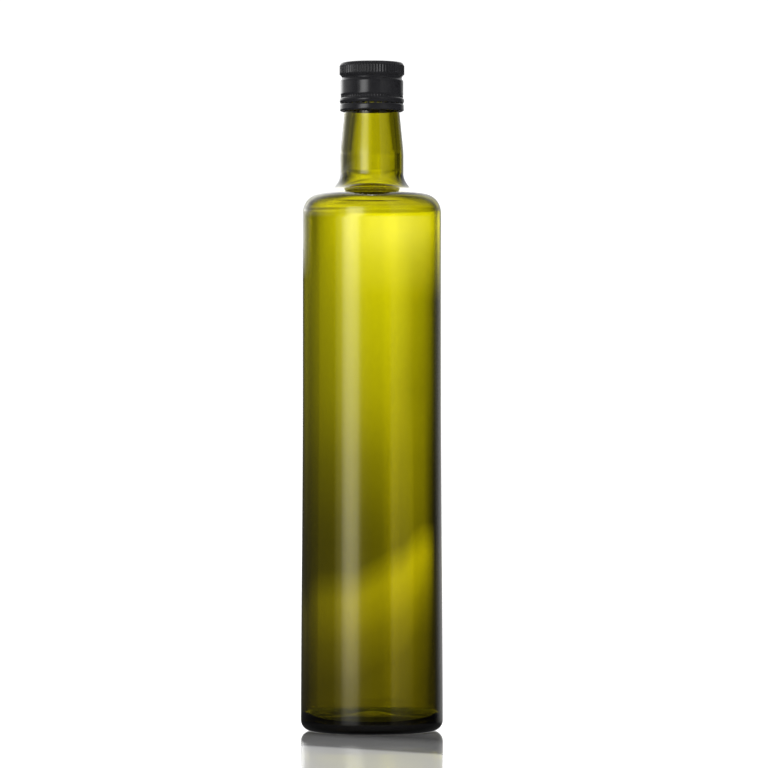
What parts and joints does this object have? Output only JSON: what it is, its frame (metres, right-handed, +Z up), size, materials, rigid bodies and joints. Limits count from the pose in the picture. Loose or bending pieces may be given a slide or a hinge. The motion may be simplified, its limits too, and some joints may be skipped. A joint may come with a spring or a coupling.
{
  "type": "oil bottle",
  "caption": "Tall round oil bottle of olive-green glass, empty, with a straight body, a short sloping shoulder, a slim neck and a black ribbed aluminium screw cap.",
  "frame": {"origin": "middle of the base, on the plane that the bottle stands on", "axes": "+Z up along the bottle's axis; +X to the right and +Y away from the camera in the picture"},
  "size_m": [0.066, 0.066, 0.31],
  "materials": {
    "olive_glass": "clear olive-green bottle glass, smooth and glossy",
    "black_lacquer": "black lacquer on thin aluminium, semi-gloss"
  },
  "bodies": {
    "root": {"glass_bottle": "olive_glass", "screw_cap": "black_lacquer"}
  },
  "joints": []
}
